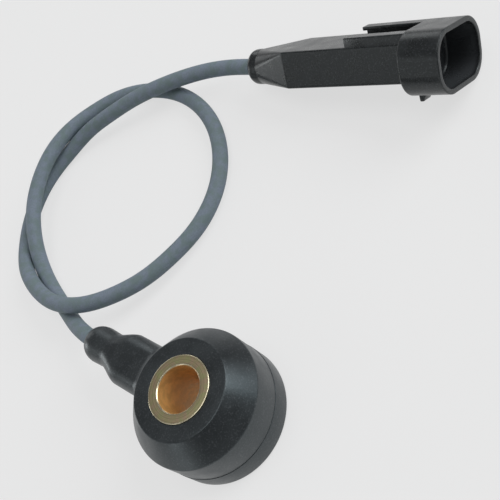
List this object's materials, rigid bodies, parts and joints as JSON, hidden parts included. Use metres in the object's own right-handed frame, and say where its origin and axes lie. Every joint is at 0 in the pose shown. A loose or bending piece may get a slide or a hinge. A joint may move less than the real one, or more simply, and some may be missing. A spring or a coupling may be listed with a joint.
{
  "type": "engine knock sensor",
  "caption": "Ring-shaped piezo knock sensor for an engine block, with a metal bolt sleeve, a moulded neck, a looped cable and a keyed blade plug.",
  "frame": {"origin": "middle of the head and its neck seen from above, on the plane of the metal seat", "axes": "+Z along the bolt bore, away from the engine block; +Y along the neck, away from the head"},
  "size_m": [0.1057, 0.1018, 0.0184],
  "materials": {
    "housing_plastic": "fine moulded plastic",
    "sleeve_metal": "turned and yellow passivated",
    "insulating_film": "amber film",
    "contact_metal": "stamped",
    "ceramic": "fired ceramic with electroded faces",
    "steel": "turned",
    "cable_jacket": "dull grey jacket",
    "ground_core": "insulated wire",
    "signal_core": "insulated wire",
    "plug_plastic": "glass-filled moulded plastic",
    "carrier_plastic": "moulded plastic",
    "terminal_metal": "tin plated"
  },
  "bodies": {
    "root": {"sensor_housing": "housing_plastic", "base_sleeve": "sleeve_metal", "insulating_tube": "insulating_film", "lower_insulator": "insulating_film", "upper_insulator": "insulating_film", "lower_contact": "contact_metal", "upper_contact": "contact_metal", "piezo_ring": "ceramic", "seismic_mass": "steel", "disc_spring": "steel", "ring_nut": "steel", "ground_splice": "contact_metal", "signal_splice": "contact_metal", "ground_wire_head_end": "ground_core", "signal_wire_head_end": "signal_core", "cable": "cable_jacket", "plug_housing": "plug_plastic", "terminal_carrier": "carrier_plastic", "ground_terminal": "terminal_metal", "signal_terminal": "terminal_metal", "ground_wire_plug_end": "ground_core", "signal_wire_plug_end": "signal_core"}
  },
  "joints": []
}
